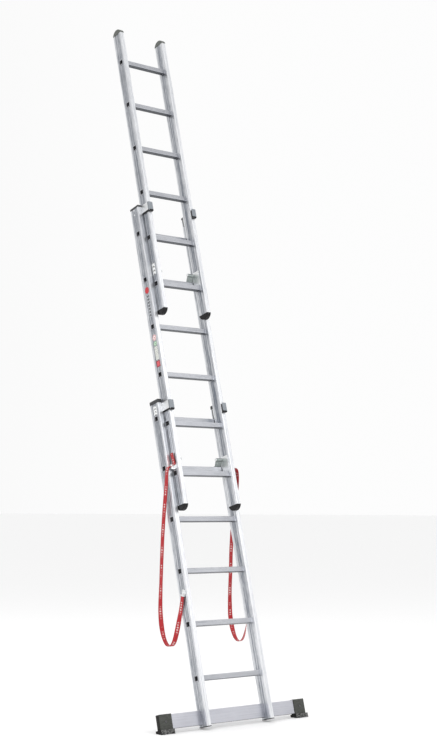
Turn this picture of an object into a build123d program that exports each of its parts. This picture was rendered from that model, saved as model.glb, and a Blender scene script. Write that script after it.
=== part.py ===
from build123d import *
import math
import os

os.makedirs("parts", exist_ok=True)

# A three-section extension ladder, drawn out and leaning as in use.
# Each section is designed upright: X along the rungs, Y from front to back, Z up the stiles.
# The whole ladder is then tilted back about the line between its two soles, which is the origin.

# Driving dimensions, in millimetres and degrees.
lean_angle = 15.0

# Stiles and rungs
stile_width = 25.0
stile_depth = 72.0
stile_wall = 1.5
stile_corner = 2.0
channel_margin = 2.5
channel_depth = 1.5
inner_channel_width = 26.0
inner_channel_depth = 1.0
groove_width = 2.0
groove_depth = 0.5
rung_pitch = 280.0
rungs_per_section = 6
rung_size = 28.0
rung_wall = 1.4
rung_corner = 3.0
rung_groove_width = 1.4
rung_groove_depth = 0.5
rung_collar_overhang = 2.5
rung_collar_thickness = 2.0
rung_end_lip = 1.2

# How the sections nest and reach past each other
clear_width = 280.0
side_gap = 5.0
nest_gap = 3.0
hook_drop = 40.0
overlap_pitches = 1
lowest_rung = 252.0

# Ends of the stiles, measured from the first and last rung of their section
lower_stile_top = 85.0
lower_stile_bottom = 242.0
middle_stile_top = 154.0
middle_stile_bottom = 175.0
upper_stile_top = 185.0
upper_stile_bottom = 155.0
cap_overhang = 1.0
cap_plug_depth = 20.0
flat_cap_plug_depth = 12.0
plug_clearance = 0.3
lower_cap_height = 20.0
middle_cap_height = 12.0
dome_height = 30.0
dome_skirt = 6.0
bottom_plug_height = 4.0

# Base bar, its ends and its soles
bar_half_length = 412.0
bar_height = 72.0
bar_depth = 25.0
bar_wall = 2.0
bar_bottom = 20.0
bar_back_inset = 3.0
bar_clearance = 0.3
end_cap_length = 80.0
end_cap_wall = 2.5
end_cap_plug = 30.0
end_cap_rounding = 8.0
sole_length = 88.0
sole_depth = 50.0
sole_groove_width = 4.0
sole_groove_depth = 3.0
sole_groove_pitch = 11.0
bar_bolt_radius = 4.0
bar_bolt_spread = 40.0
bar_bolt_head = 5.3
bar_nut_height = 6.5

# Guide brackets
bracket_plate = 3.0
bracket_height = 52.0
bracket_reach = 15.0
bracket_back = 20.0
bracket_bend = 4.0
middle_bracket_above_rung = 108.0
lower_bracket_above_rung = 29.0
bracket_rivet_setback = 7.0
pad_clearance = 1.0
rivet_radius = 3.0
rivet_head_radius = 5.0
rivet_head_height = 1.2

# Hooks
hook_width = 42.0
hook_thickness = 5.0
hook_rest_gap = 0.5
hook_pivot_forward = 27.0
hook_pivot_rise = 50.0
hook_hub_radius = 9.0
hook_pin_radius = 5.0
hook_pin_clearance = 0.15
hook_pin_head_radius = 8.0
hook_pin_head = 3.0
hook_side_clearance = 0.5
hook_beak_drop = 14.0
hook_plate_thickness = 3.0

# Straps
strap_tube = 8.0
strap_start_gap = 2.0
anchor_plate = 2.5
anchor_length = 34.0
anchor_width = 26.0
upper_anchor_tab = 6.0
lower_anchor_sleeve = 8.0
anchor_bolt_radius = 6.5
anchor_bolt_head = 4.5
anchor_shank_radius = 4.0
upper_anchor_seat = 2.0
upper_anchor_above_rung = 36.0
upper_anchor_stand = 20.0
lower_anchor_y = -10.0
lower_anchor_above_rung = 167.0
lower_anchor_stand = 12.0
lower_anchor_turn = 25.0

# Worked out from the driving dimensions
rung_collar_size = rung_size + 2 * rung_collar_overhang
channel_width = rung_collar_size + 2 * channel_margin
upper_anchor_setback = anchor_width / 2 - channel_width / 2 - upper_anchor_seat
bar_back = stile_depth / 2 - bar_back_inset
section_step = stile_depth / 2 + rung_size / 2 + nest_gap
width_step = 2 * (stile_width + side_gap)
upper_width = clear_width + 2 * stile_width
middle_width = upper_width + width_step
lower_width = middle_width + width_step
ladder_of_rungs = (rungs_per_section - 1) * rung_pitch
section_shift = (rungs_per_section - 1 - overlap_pitches) * rung_pitch - hook_drop
bar_middle_y = bar_back - bar_depth / 2


def section(name, outer_width, steps_forward, top, bottom, bracket_above_rung):
    """Sizes and places of one ladder section; steps_forward counts sections in front of the lower one."""
    last_rung = lowest_rung + steps_forward * section_shift
    first_rung = last_rung + ladder_of_rungs
    return {
        "name": name,
        "width": outer_width,
        "y": -steps_forward * section_step,
        "last_rung": last_rung,
        "first_rung": first_rung,
        "top": first_rung + top,
        "bottom": last_rung - bottom,
        "bracket_above_rung": bracket_above_rung,
    }


lower = section("lower", lower_width, 0, lower_stile_top, lower_stile_bottom, lower_bracket_above_rung)
middle = section("middle", middle_width, 1, middle_stile_top, middle_stile_bottom, middle_bracket_above_rung)
upper = section("upper", upper_width, 2, upper_stile_top, upper_stile_bottom, None)
sections = [lower, middle, upper]
sides = {"left": -1, "right": 1}


def tilt(shape):
    """Moves a shape from the upright design frame to the leaning ladder's frame."""
    return Rot(-lean_angle, 0, 0) * Pos(0, -bar_middle_y, 0) * shape


def save(name, *shapes):
    """Writes one node; several shapes become separate solids of one group."""
    placed = [tilt(shape) for shape in shapes]
    export_step(placed[0] if len(placed) == 1 else Compound(children=placed), f"parts/{name}.step")


def box(low, high):
    """Box between two corners given as (x, y, z)."""
    size = [high[i] - low[i] for i in range(3)]
    middle_point = [(high[i] + low[i]) / 2 for i in range(3)]
    return Pos(*middle_point) * Box(*size)


def side_box(side, inner_x, outer_x, low_yz, high_yz):
    """Box between two distances from the centre plane, on the left (-1) or right (1) side."""
    near, far = sorted((side * inner_x, side * outer_x))
    return box((near, low_yz[0], low_yz[1]), (far, high_yz[0], high_yz[1]))


def rod_x(x_from, x_to, y, z, radius):
    """Round rod along X."""
    length = abs(x_to - x_from)
    return Pos((x_from + x_to) / 2, y, z) * Rot(0, 90, 0) * Cylinder(radius, length)


def rod_y(x, y_from, y_to, z, radius):
    """Round rod along Y."""
    length = abs(y_to - y_from)
    return Pos(x, (y_from + y_to) / 2, z) * Rot(90, 0, 0) * Cylinder(radius, length)


def rung_levels(part):
    return [part["first_rung"] - i * rung_pitch for i in range(rungs_per_section)]


def stile_profile(side):
    """Cross-section of a stile about its own centre, with the recessed channel on its outer side."""
    outside = side * stile_width / 2
    outline = RectangleRounded(stile_width, stile_depth, stile_corner)
    channel = Pos(outside, 0) * Rectangle(2 * channel_depth, channel_width)
    inner_channel = Pos(-outside, 0) * Rectangle(2 * inner_channel_depth, inner_channel_width)
    profile = outline - channel - inner_channel
    for edge in (-1, 1):
        floor_groove = Rectangle(2 * (channel_depth + groove_depth), groove_width)
        profile -= Pos(outside, edge * channel_width / 4) * floor_groove
    flange = (stile_depth - channel_width) / 2
    for edge in (-1, 1):
        for share in (0.3, 0.6):
            y = edge * (channel_width / 2 + share * flange)
            profile -= Pos(outside, y) * Rectangle(2 * groove_depth, groove_width)
            profile -= Pos(-outside, y) * Rectangle(2 * groove_depth, groove_width)
    front_groove = Rectangle(groove_width, 2 * groove_depth)
    for edge in (-1, 1):
        profile -= Pos(0, edge * stile_depth / 2) * front_groove
    inside_from = -stile_width / 2 + stile_wall + inner_channel_depth
    inside_to = stile_width / 2 - stile_wall - channel_depth
    hollow = Pos(side * (inside_from + inside_to) / 2, 0) * RectangleRounded(
        inside_to - inside_from, stile_depth - 2 * stile_wall, stile_corner / 2
    )
    return profile - hollow, hollow


def stile_centre(part, side):
    return side * (part["width"] - stile_width) / 2


def stile_holes(part, middle_x):
    """Rivet and bolt holes of a stile, as X span, Y, Z and radius."""
    inner = part["width"] / 2 - stile_width - 1
    outer = part["width"] / 2 + 1
    holes = []
    if part is not upper:
        for y, z in bracket_rivet_places(part):
            holes.append((inner, outer, y, z, rivet_radius))
    if part is not lower:
        for y, z in hook_rivet_places(part):
            holes.append((inner, middle_x, y, z, rivet_radius))
    if part is not upper:
        y, z = anchor_bolt_place(part)
        holes.append((middle_x, outer, y, z, anchor_shank_radius))
    return holes


def make_stile(part, side):
    profile, hollow = stile_profile(side)
    length = part["top"] - part["bottom"]
    stile = Pos(stile_centre(part, side), part["y"], part["bottom"]) * extrude(profile, length)
    hole = RectangleRounded(rung_size, rung_size, rung_corner)
    cutter = extrude(hole, 2 * stile_width, both=True)
    for level in rung_levels(part):
        stile -= Pos(stile_centre(part, side), part["y"], level) * Rot(0, 90, 0) * cutter
    if part is lower:
        slot_low = (bar_back - bar_depth - bar_clearance, bar_bottom - bar_clearance)
        slot_high = (bar_back + bar_clearance, bar_bottom + bar_height + bar_clearance)
        inner = lower_width / 2 - stile_width - 1
        stile -= side_box(side, inner, lower_width / 2 + 1, slot_low, slot_high)
        for level in bar_bolt_levels():
            x = stile_centre(part, side)
            stile -= rod_y(x, bar_back - 1, stile_depth / 2 + 1, level, bar_bolt_radius)
    middle_x = part["width"] / 2 - stile_width / 2
    for x_from, x_to, y, z, radius in stile_holes(part, middle_x):
        stile -= rod_x(side * x_from, side * x_to, y, z, radius)
    return stile


def rung_profile():
    """Ribbed square tube in its own YZ plane, drawn in XY with X standing for up."""
    outline = RectangleRounded(rung_size, rung_size, rung_corner)
    half = rung_size / 2
    for offset in (-8, -4, 0, 4, 8):
        for edge in (-1, 1):
            outline -= Pos(edge * half, offset) * Rectangle(2 * rung_groove_depth, rung_groove_width)
    for offset in (-6, 0, 6):
        for edge in (-1, 1):
            outline -= Pos(offset, edge * half) * Rectangle(rung_groove_width, 2 * rung_groove_depth)
    bore_size = rung_size - 2 * rung_wall
    bore = RectangleRounded(bore_size, bore_size, rung_corner - rung_wall)
    return outline, bore


def make_rung(part, level):
    """A rung swaged into both stiles, with a collar inside and a flared lip in the outer channel."""
    outline, bore = rung_profile()
    tube_half = part["width"] / 2 - channel_depth + 0.1
    inner_face = part["width"] / 2 - stile_width
    collar = RectangleRounded(rung_collar_size, rung_collar_size, rung_corner + 2)
    rung = extrude(outline, tube_half, both=True)
    for edge in (-1, 1):
        collar_from = inner_face - rung_collar_thickness
        rung += Pos(0, 0, edge * (collar_from + inner_face) / 2) * extrude(
            collar, rung_collar_thickness / 2, both=True
        )
        lip_from = part["width"] / 2 - channel_depth
        lip_middle = edge * (lip_from + rung_end_lip / 2)
        rung += Pos(0, 0, lip_middle) * extrude(collar, rung_end_lip / 2, both=True)
    rung -= extrude(bore, part["width"], both=True)
    return Pos(0, part["y"], level) * Rot(0, 90, 0) * rung


def stile_plug(part, side, z_from, z_to):
    """The part of a cap or foot that sits inside the hollow stile."""
    hollow_from = -stile_width / 2 + stile_wall + inner_channel_depth + plug_clearance
    hollow_to = stile_width / 2 - stile_wall - channel_depth - plug_clearance
    centre = stile_centre(part, side)
    half_depth = stile_depth / 2 - stile_wall - plug_clearance
    near = centre + side * hollow_from
    far = centre + side * hollow_to
    low_x, high_x = sorted((near, far))
    return box((low_x, part["y"] - half_depth, z_from), (high_x, part["y"] + half_depth, z_to))


def make_flat_cap(part, side, height):
    """Low cap, flush with the inner face so that the guide bracket passes it."""
    half = stile_depth / 2 + cap_overhang
    inner = part["width"] / 2 - stile_width
    outer = part["width"] / 2 + cap_overhang
    top = part["top"]
    cap = side_box(side, inner, outer, (part["y"] - half, top), (part["y"] + half, top + height))
    cap = chamfer(cap.faces().sort_by(Axis.Z)[-1].edges(), 2)
    plug = stile_plug(part, side, top - flat_cap_plug_depth, top)
    for y, z in bracket_rivet_places(part):
        plug -= rod_x(side * (inner - 1), side * (outer + 1), y, z, rivet_radius + plug_clearance)
    return cap + plug


def dome(part, side, z, height, up):
    """Rounded end piece: a skirt, then a circular segment across the stile's depth."""
    half = stile_depth / 2 + cap_overhang
    with BuildSketch(Plane.YZ) as face:
        with BuildLine():
            Polyline((-half, dome_skirt), (-half, 0), (half, 0), (half, dome_skirt))
            ThreePointArc((half, dome_skirt), (0, height), (-half, dome_skirt))
        make_face()
    width = stile_width + 2 * cap_overhang
    body = extrude(face.sketch, width / 2, both=True)
    top_edges = body.edges().filter_by(GeomType.CIRCLE)
    body = fillet(top_edges, 3)
    if not up:
        body = Rot(180, 0, 0) * body
    return Pos(stile_centre(part, side), part["y"], z) * body


def make_domed_cap(part, side):
    plug = stile_plug(part, side, part["top"] - cap_plug_depth, part["top"])
    return dome(part, side, part["top"], dome_height, True) + plug


def make_foot(part, side):
    plug = stile_plug(part, side, part["bottom"], part["bottom"] + cap_plug_depth)
    return dome(part, side, part["bottom"], dome_height, False) + plug


def make_bottom_plug(part, side):
    """Thin rubber plug under a lower stile; the base bar fills the stile just above it."""
    half = stile_depth / 2
    inner = part["width"] / 2 - stile_width
    outer = part["width"] / 2
    low = part["bottom"] - bottom_plug_height
    plate = side_box(side, inner, outer, (-half, low), (half, part["bottom"]))
    return plate + stile_plug(part, side, part["bottom"], bar_bottom - 2 * bar_clearance)


def bar_bolt_levels():
    centre = bar_bottom + bar_height / 2
    return [centre - bar_bolt_spread / 2, centre + bar_bolt_spread / 2]


def bar_box(half_length, inset):
    low = (-half_length, bar_back - bar_depth + inset, bar_bottom + inset)
    high = (half_length, bar_back - inset, bar_bottom + bar_height - inset)
    return box(low, high)


def make_base_bar():
    bar = bar_box(bar_half_length, 0)
    bar = fillet(bar.edges().filter_by(Axis.X), 2)
    for share in (-0.36, -0.22, 0.22, 0.36):
        level = bar_bottom + bar_height * (0.5 + share)
        for face_y in (bar_back, bar_back - bar_depth):
            groove = Box(2 * bar_half_length, 2 * groove_depth, 2 * groove_width)
            bar -= Pos(0, face_y, level) * groove
    bar -= bar_box(bar_half_length + 1, bar_wall)
    for side in sides.values():
        for level in bar_bolt_levels():
            x = stile_centre(lower, side)
            bar -= rod_y(x, bar_back - bar_depth - 1, bar_back + 1, level, bar_bolt_radius)
    return bar


def make_bar_bolt(side, level):
    """Hexagon bolt from the back of the stile through the bar, with its nut in front of the bar."""
    x = stile_centre(lower, side)
    back = stile_depth / 2
    front = bar_back - bar_depth
    shank = rod_y(x, front - bar_nut_height - 1, back, level, bar_bolt_radius - 0.1)
    head_sketch = RegularPolygon(radius=1.75 * bar_bolt_radius, side_count=6)
    head = Pos(x, back, level) * Rot(-90, 0, 0) * extrude(head_sketch, bar_bolt_head)
    nut = Pos(x, front - bar_clearance, level) * Rot(90, 0, 0) * extrude(head_sketch, bar_nut_height)
    nut -= rod_y(x, front - bar_nut_height - 2, front + 1, level, bar_bolt_radius)
    return shank + head, nut


def make_end_cap(side):
    """Moulded cap over the end of the base bar, with a plug inside it."""
    inner = bar_half_length
    outer = inner + end_cap_length
    wall = end_cap_wall
    low = (bar_back - bar_depth - wall, bar_bottom - wall)
    high = (bar_back + wall, bar_bottom + bar_height + wall)
    cap = side_box(side, inner, outer, low, high)
    outer_face = cap.faces().sort_by(Axis.X)[-1 if side > 0 else 0]
    cap = fillet(outer_face.edges(), end_cap_rounding)
    inset = bar_wall + plug_clearance
    plug_low = (bar_back - bar_depth + inset, bar_bottom + inset)
    plug_high = (bar_back - inset, bar_bottom + bar_height - inset)
    cap += side_box(side, inner - end_cap_plug, inner, plug_low, plug_high)
    x, y, z = end_screw_place(side)
    cap -= rod_y(x, y - 1, y + 18, z, rivet_radius)
    return cap


def end_screw_place(side):
    x = side * (bar_half_length + end_cap_length / 2)
    return x, bar_back - bar_depth - end_cap_wall, bar_bottom + bar_height / 2


def make_end_screw(side):
    x, y, z = end_screw_place(side)
    head = rod_y(x, y - 3, y, z, 6)
    head = fillet(head.edges().filter_by(GeomType.CIRCLE).sort_by(Axis.Y)[0], 1.5)
    slot = Pos(x, y - 3, z) * Box(8, 2, 1.4) + Pos(x, y - 3, z) * Box(1.4, 2, 8)
    return head - slot + rod_y(x, y, y + 16, z, rivet_radius - 0.1)


def make_sole(side):
    """Rubber sole under an end cap. Its underside is level on the floor when the ladder leans."""
    inner = bar_half_length - 4
    outer = inner + sole_length
    top = bar_bottom - end_cap_wall
    y_from = bar_middle_y - sole_depth / 2
    y_to = bar_middle_y + sole_depth / 2
    block = side_box(side, inner, outer, (y_from, -sole_depth), (y_to, top))
    block = tilt(fillet(block.edges().filter_by(Axis.Z), 5))
    floor_cut = Pos(0, 0, -500) * Box(4000, 4000, 1000)
    block -= floor_cut
    count = int(sole_length / sole_groove_pitch) - 1
    for i in range(count):
        x = side * (inner + (i + 1) * sole_groove_pitch)
        block -= Pos(x, 0, 0) * Box(sole_groove_width, 4 * sole_depth, 2 * sole_groove_depth)
    return block


def bracket_bottom(part):
    return part["first_rung"] + part["bracket_above_rung"]


def make_guide_bracket(part, front, side):
    """Bent plate on a stile's inner face; its lip turns in front of the front section's stile."""
    inner_face = part["width"] / 2 - stile_width
    plate_in = inner_face - bracket_plate
    z_from = bracket_bottom(part)
    z_to = z_from + bracket_height
    lip_y = front["y"] - stile_depth / 2 - bracket_reach
    back_y = part["y"] + bracket_back
    plate = side_box(side, plate_in, inner_face, (lip_y, z_from), (back_y, z_to))
    lip_end = front["width"] / 2 - stile_width + 1
    lip = side_box(side, lip_end, inner_face, (lip_y, z_from), (lip_y + bracket_plate, z_to))
    bracket = plate + lip
    corner = bracket.edges().filter_by(Axis.Z).group_by(Axis.Y)[0]
    bracket = fillet(corner.sort_by(Axis.X)[-1 if side > 0 else 0], bracket_bend)
    for y, z in bracket_rivet_places(part):
        bracket -= rod_x(side * (plate_in - 1), side * (inner_face + 1), y, z, rivet_radius)
    return bracket


def bracket_rivet_places(part):
    z_from = bracket_bottom(part)
    y = part["y"] + bracket_rivet_setback
    return [(y, z_from + 0.2 * bracket_height), (y, z_from + 0.75 * bracket_height)]


def make_glide_pad(part, front, side):
    """Plastic pad on the inside of the lip, just clear of the sliding stile's front face."""
    z_from = bracket_bottom(part)
    lip_inner = front["y"] - stile_depth / 2 - bracket_reach + bracket_plate
    pad_to = front["y"] - stile_depth / 2 - pad_clearance
    inner = front["width"] / 2 - stile_width + 2
    outer = part["width"] / 2 - stile_width - bracket_plate - bracket_bend
    pad = side_box(side, inner, outer, (lip_inner, z_from - 4), (pad_to, z_from + bracket_height - 6))
    return chamfer(pad.edges().filter_by(Axis.X).group_by(Axis.Y)[-1], 2)


def make_rivet(side, inner_x, outer_x, y, z):
    """Flat rivet along X between two distances from the centre plane, with a low head at each end."""
    shank = rod_x(side * inner_x, side * outer_x, y, z, rivet_radius)
    inner_head = rod_x(side * (inner_x - rivet_head_height), side * inner_x, y, z, rivet_head_radius)
    outer_head = rod_x(side * outer_x, side * (outer_x + rivet_head_height), y, z, rivet_head_radius)
    return shank + inner_head + outer_head


def bracket_rivets(part, side):
    plate_in = part["width"] / 2 - stile_width - bracket_plate
    channel_floor = part["width"] / 2 - channel_depth
    return [make_rivet(side, plate_in, channel_floor, y, z) for y, z in bracket_rivet_places(part)]


def hook_centre(part):
    """Centre of the rung, in the section behind, that this section's hooks drop over."""
    return part["y"] + section_step, part["last_rung"] + hook_drop


def hook_pivot(part):
    y, z = hook_centre(part)
    return y - hook_pivot_forward, z + hook_pivot_rise


def hook_rivet_places(part):
    """Rivets that hold the hook plate to the stile's inner wall."""
    y, z = part["y"], hook_centre(part)[1]
    return [(y - 12, z - 10), (y + 14, z - 10), (y - 12, z + 50)]


def make_hook_plate(part, side):
    """Plate inside the stile, beside the lowest rung, that carries the hook's pin."""
    rung_y, rung_z = hook_centre(part)
    inner_face = part["width"] / 2 - stile_width
    plate_in = inner_face - hook_plate_thickness
    y_from = part["y"] - 24
    y_to = rung_y - rung_size / 2 - 5
    plate = side_box(side, plate_in, inner_face, (y_from, rung_z - 34), (y_to, rung_z + 66))
    plate = fillet(plate.edges().filter_by(Axis.X), 5)
    window = rung_collar_size + 2 * plug_clearance
    low = (part["y"] - window / 2, part["last_rung"] - window / 2)
    high = (part["y"] + window / 2, part["last_rung"] + window / 2)
    plate -= side_box(side, plate_in - 1, inner_face + 1, low, high)
    y, z = hook_pivot(part)
    plate -= rod_x(side * (plate_in - 1), side * (inner_face + 1), y, z, hook_pin_radius)
    for y, z in hook_rivet_places(part):
        plate -= rod_x(side * (plate_in - 1), side * (inner_face + 1), y, z, rivet_radius)
    return plate


def hook_span(part):
    """Distances from the centre plane between which the hook lies."""
    outer = part["width"] / 2 - stile_width - hook_plate_thickness - hook_side_clearance
    return outer - hook_width, outer


def make_hook_pin(part, side):
    inner, outer = hook_span(part)
    y, z = hook_pivot(part)
    inner_face = part["width"] / 2 - stile_width
    head_outer = inner - hook_side_clearance
    pin = rod_x(side * head_outer, side * inner_face, y, z, hook_pin_radius)
    return pin + rod_x(side * (head_outer - hook_pin_head), side * head_outer, y, z, hook_pin_head_radius)


def hook_rivet(part, side, y, z):
    """Blind rivet through the hook plate and the stile's inner wall."""
    plate_in = part["width"] / 2 - stile_width - hook_plate_thickness
    wall_inside = part["width"] / 2 - stile_width + stile_wall + inner_channel_depth
    shank = rod_x(side * plate_in, side * (wall_inside + 3), y, z, rivet_radius)
    head = rod_x(side * (plate_in - rivet_head_height), side * plate_in, y, z, rivet_head_radius)
    tail = rod_x(side * wall_inside, side * (wall_inside + 3), y, z, rivet_radius + 1)
    return shank + head + tail


def strip_yz(start, end, thickness):
    """Flat bar, as wide as a hook, between two points of the YZ plane."""
    dy = end[0] - start[0]
    dz = end[1] - start[1]
    angle = math.degrees(math.atan2(dz, dy))
    centre = Pos(0, (start[0] + end[0]) / 2, (start[1] + end[1]) / 2)
    return centre * Rot(angle, 0, 0) * Box(hook_width, math.hypot(dy, dz), thickness)


def make_hook(part, side):
    """Bent steel claw: a hub on the pin, an arm, a seat on the rung and a beak behind it."""
    half_rung = rung_size / 2
    seat = half_rung + hook_rest_gap + hook_thickness / 2
    beak_y = half_rung + 1 + hook_thickness / 2
    path = [
        (-hook_pivot_forward, hook_pivot_rise),
        (-8, seat),
        (beak_y, seat),
        (beak_y + 1.5, -hook_beak_drop),
    ]
    hook = rod_x(-hook_width / 2, hook_width / 2, path[0][0], path[0][1], hook_hub_radius)
    for start, end in zip(path, path[1:]):
        hook += strip_yz(start, end, hook_thickness)
        hook += rod_x(-hook_width / 2, hook_width / 2, end[0], end[1], hook_thickness / 2)
    bore = hook_pin_radius + hook_pin_clearance
    hook -= rod_x(-hook_width, hook_width, path[0][0], path[0][1], bore)
    inner, outer = hook_span(part)
    y, z = hook_centre(part)
    return Pos(side * (inner + outer) / 2, y, z) * hook


def anchor_bolt_place(part):
    """Y and Z of the strap bolt on the outer face of a lower or middle stile."""
    if part is lower:
        return lower_anchor_y, lowest_rung + rung_pitch + lower_anchor_above_rung
    return part["y"] + upper_anchor_setback, part["last_rung"] + upper_anchor_above_rung


def make_anchor_bolt(part, side, y, z, seat_x):
    """Dome-headed bolt through the anchor and the stile's outer wall, with its nut inside."""
    wall_inside = part["width"] / 2 - channel_depth - stile_wall
    shank = rod_x(side * (wall_inside - 7), side * seat_x, y, z, anchor_shank_radius)
    head = rod_x(side * seat_x, side * (seat_x + anchor_bolt_head), y, z, anchor_bolt_radius)
    outer_rim = head.edges().filter_by(GeomType.CIRCLE).sort_by(Axis.X)[-1 if side > 0 else 0]
    head = fillet(outer_rim, 3)
    nut = rod_x(side * (wall_inside - 5), side * wall_inside, y, z, anchor_shank_radius + 3)
    return shank + head + nut


def make_upper_anchor(side):
    """Steel angle on the middle stile's outer face; its tab stands out and carries the strap's end."""
    y, z = anchor_bolt_place(middle)
    face = middle_width / 2
    half = anchor_width / 2
    plate_to = y + anchor_width / 2
    plate = side_box(side, face, face + anchor_plate, (y - half, z - half), (plate_to, z + half))
    tab_low = (plate_to - upper_anchor_tab, z - half)
    tab_high = (plate_to, z + half)
    tab = side_box(side, face, face + upper_anchor_stand, tab_low, tab_high)
    anchor = plate + tab
    return anchor - rod_x(side * (face - 1), side * (face + anchor_plate + 1), y, z, anchor_shank_radius)


def make_lower_anchor(side):
    """Steel clip on the lower stile's outer face, turned towards the strap that hangs into it."""
    y, z = anchor_bolt_place(lower)
    face = lower_width / 2
    half = anchor_width / 2
    foot = -anchor_length + half
    plate = side_box(side, face, face + anchor_plate, (-half, foot), (half, half))
    sleeve_to = (half - 1, foot + lower_anchor_sleeve)
    sleeve = side_box(side, face + anchor_plate, face + lower_anchor_stand, (1 - half, foot), sleeve_to)
    anchor = plate + sleeve
    anchor -= rod_x(side * (face - 1), side * (face + anchor_plate + 1), 0, 0, anchor_shank_radius)
    return Pos(0, y, z) * Rot(lower_anchor_turn, 0, 0) * anchor


# Route of a strap from the upper anchor's tab, past the lower stile, down behind the ladder in one loop
# and up to the lower anchor. Each point: how far outside the lower stile's outer face, then its place
# from the lower end (0) to the upper end (1), first front to back and then in height.
strap_route = [
    (3, 1.0, 1.0031),
    (13.5, 0.992, 0.9935),
    (19, 0.985, 0.9677),
    (21, 0.985, 0.9264),
    (21, 1.0, 0.8747),
    (21, 1.038, 0.8083),
    (19, 1.123, 0.705),
    (16, 1.216, 0.5869),
    (15, 1.285, 0.454),
    (14, 1.331, 0.3212),
    (15, 1.354, 0.1839),
    (14, 1.393, 0.0319),
    (15, 1.408, -0.1039),
    (14, 1.354, -0.2176),
    (15, 1.208, -0.3135),
    (14, 0.985, -0.3814),
    (13, 0.715, -0.3976),
    (13, 0.484, -0.3666),
    (12, 0.323, -0.2869),
    (10, 0.192, -0.191),
]


def strap_points(side):
    """The route between its two ends, the lower one square on the lower anchor's clip."""
    tab_y, z = anchor_bolt_place(middle)
    tab_y += (anchor_width - upper_anchor_tab) / 2
    upper_x = middle_width / 2 + upper_anchor_stand + strap_start_gap
    top = tilt(Pos(-upper_x, tab_y, z)).position
    y, z = anchor_bolt_place(lower)
    face_x = lower_width / 2 + anchor_plate + strap_tube / 2 + 0.5
    end = Pos(-face_x, y, z) * Rot(lower_anchor_turn, 0, 0) * Pos(0, 0, -anchor_length + anchor_width / 2)
    before = tilt(end * Pos(0, 0, -60)).position
    bottom = tilt(end).position
    points = [top]
    for outside, back, height in strap_route:
        y = bottom.Y + back * (top.Y - bottom.Y)
        z = bottom.Z + height * (top.Z - bottom.Z)
        points.append(Vector(-lower_width / 2 - outside, y, z))
    points += [before, bottom]
    return [Vector(-side * p.X, p.Y, p.Z) for p in points]


def corner_radii(points):
    """Arc radius at each inner point: 0.45 of the shorter run over the tangent of half the turn."""
    radii = []
    for before, corner, after in zip(points, points[1:], points[2:]):
        run_in = corner - before
        run_out = after - corner
        turn = math.radians(run_in.get_angle(run_out))
        radii.append(0.45 * min(run_in.length, run_out.length) / math.tan(turn / 2))
    return radii


def make_strap(side):
    points = strap_points(side)
    radii = corner_radii(points)
    path = FilletPolyline(*points, radius=radii)
    start = Plane(origin=path @ 0, z_dir=path % 0)
    strap = sweep(start * Circle(strap_tube / 2), path=path)
    expected = math.pi * strap_tube**2 / 4 * path.length
    print("strap", side, "points", [(round(p.X, 1), round(p.Y, 1), round(p.Z, 1)) for p in points])
    print("strap", side, "length", round(path.length), "smallest radius", round(min(radii)))
    print("strap", side, "radii", [round(radius) for radius in radii])
    print("strap", side, "volume over section times length", round(strap.volume / expected, 4))
    return strap


for part in sections:
    for side_name, side in sides.items():
        save(f"{part['name']}_stile_{side_name}", make_stile(part, side))
    for number, level in enumerate(rung_levels(part)[::-1], start=1):
        save(f"{part['name']}_rung_{number}", make_rung(part, level))

save("lower_top_caps", *[make_flat_cap(lower, side, lower_cap_height) for side in sides.values()])
save("middle_top_caps", *[make_flat_cap(middle, side, middle_cap_height) for side in sides.values()])
save("upper_top_caps", *[make_domed_cap(upper, side) for side in sides.values()])
save("lower_bottom_plugs", *[make_bottom_plug(lower, side) for side in sides.values()])
save("middle_feet", *[make_foot(middle, side) for side in sides.values()])
save("upper_feet", *[make_foot(upper, side) for side in sides.values()])

save("base_bar", make_base_bar())
bar_bolts = []
for side in sides.values():
    for level in bar_bolt_levels():
        bar_bolts.extend(make_bar_bolt(side, level))
save("bar_bolts", *bar_bolts)
save("end_cap_screws", *[make_end_screw(side) for side in sides.values()])

for side_name, side in sides.items():
    save(f"end_cap_{side_name}", make_end_cap(side))
    export_step(make_sole(side), f"parts/rubber_sole_{side_name}.step")
    save(f"lower_guide_{side_name}", make_guide_bracket(lower, middle, side))
    save(f"middle_guide_{side_name}", make_guide_bracket(middle, upper, side))
    for part in (middle, upper):
        save(f"{part['name']}_hook_{side_name}", make_hook(part, side))
    export_step(make_strap(side), f"parts/strap_{side_name}.step")

save("lower_glide_pads", *[make_glide_pad(lower, middle, side) for side in sides.values()])
save("middle_glide_pads", *[make_glide_pad(middle, upper, side) for side in sides.values()])

for part in (middle, upper):
    save(f"{part['name']}_hook_plates", *[make_hook_plate(part, side) for side in sides.values()])
    save(f"{part['name']}_hook_pins", *[make_hook_pin(part, side) for side in sides.values()])

for part in sections:
    rivets = []
    for side in sides.values():
        if part is not upper:
            rivets.extend(bracket_rivets(part, side))
        if part is not lower:
            rivets.extend(hook_rivet(part, side, y, z) for y, z in hook_rivet_places(part))
    save(f"{part['name']}_rivets", *rivets)

save("strap_upper_anchors", *[make_upper_anchor(side) for side in sides.values()])
save("strap_lower_anchors", *[make_lower_anchor(side) for side in sides.values()])
upper_bolts = []
lower_bolts = []
for side in sides.values():
    y, z = anchor_bolt_place(middle)
    upper_bolts.append(make_anchor_bolt(middle, side, y, z, middle_width / 2 + anchor_plate))
    y, z = anchor_bolt_place(lower)
    lower_bolts.append(make_anchor_bolt(lower, side, y, z, lower_width / 2 + anchor_plate))
save("strap_upper_bolts", *upper_bolts)
save("strap_lower_bolts", *lower_bolts)
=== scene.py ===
import math

import bmesh
import bpy
from mathutils import Matrix, Vector


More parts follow.
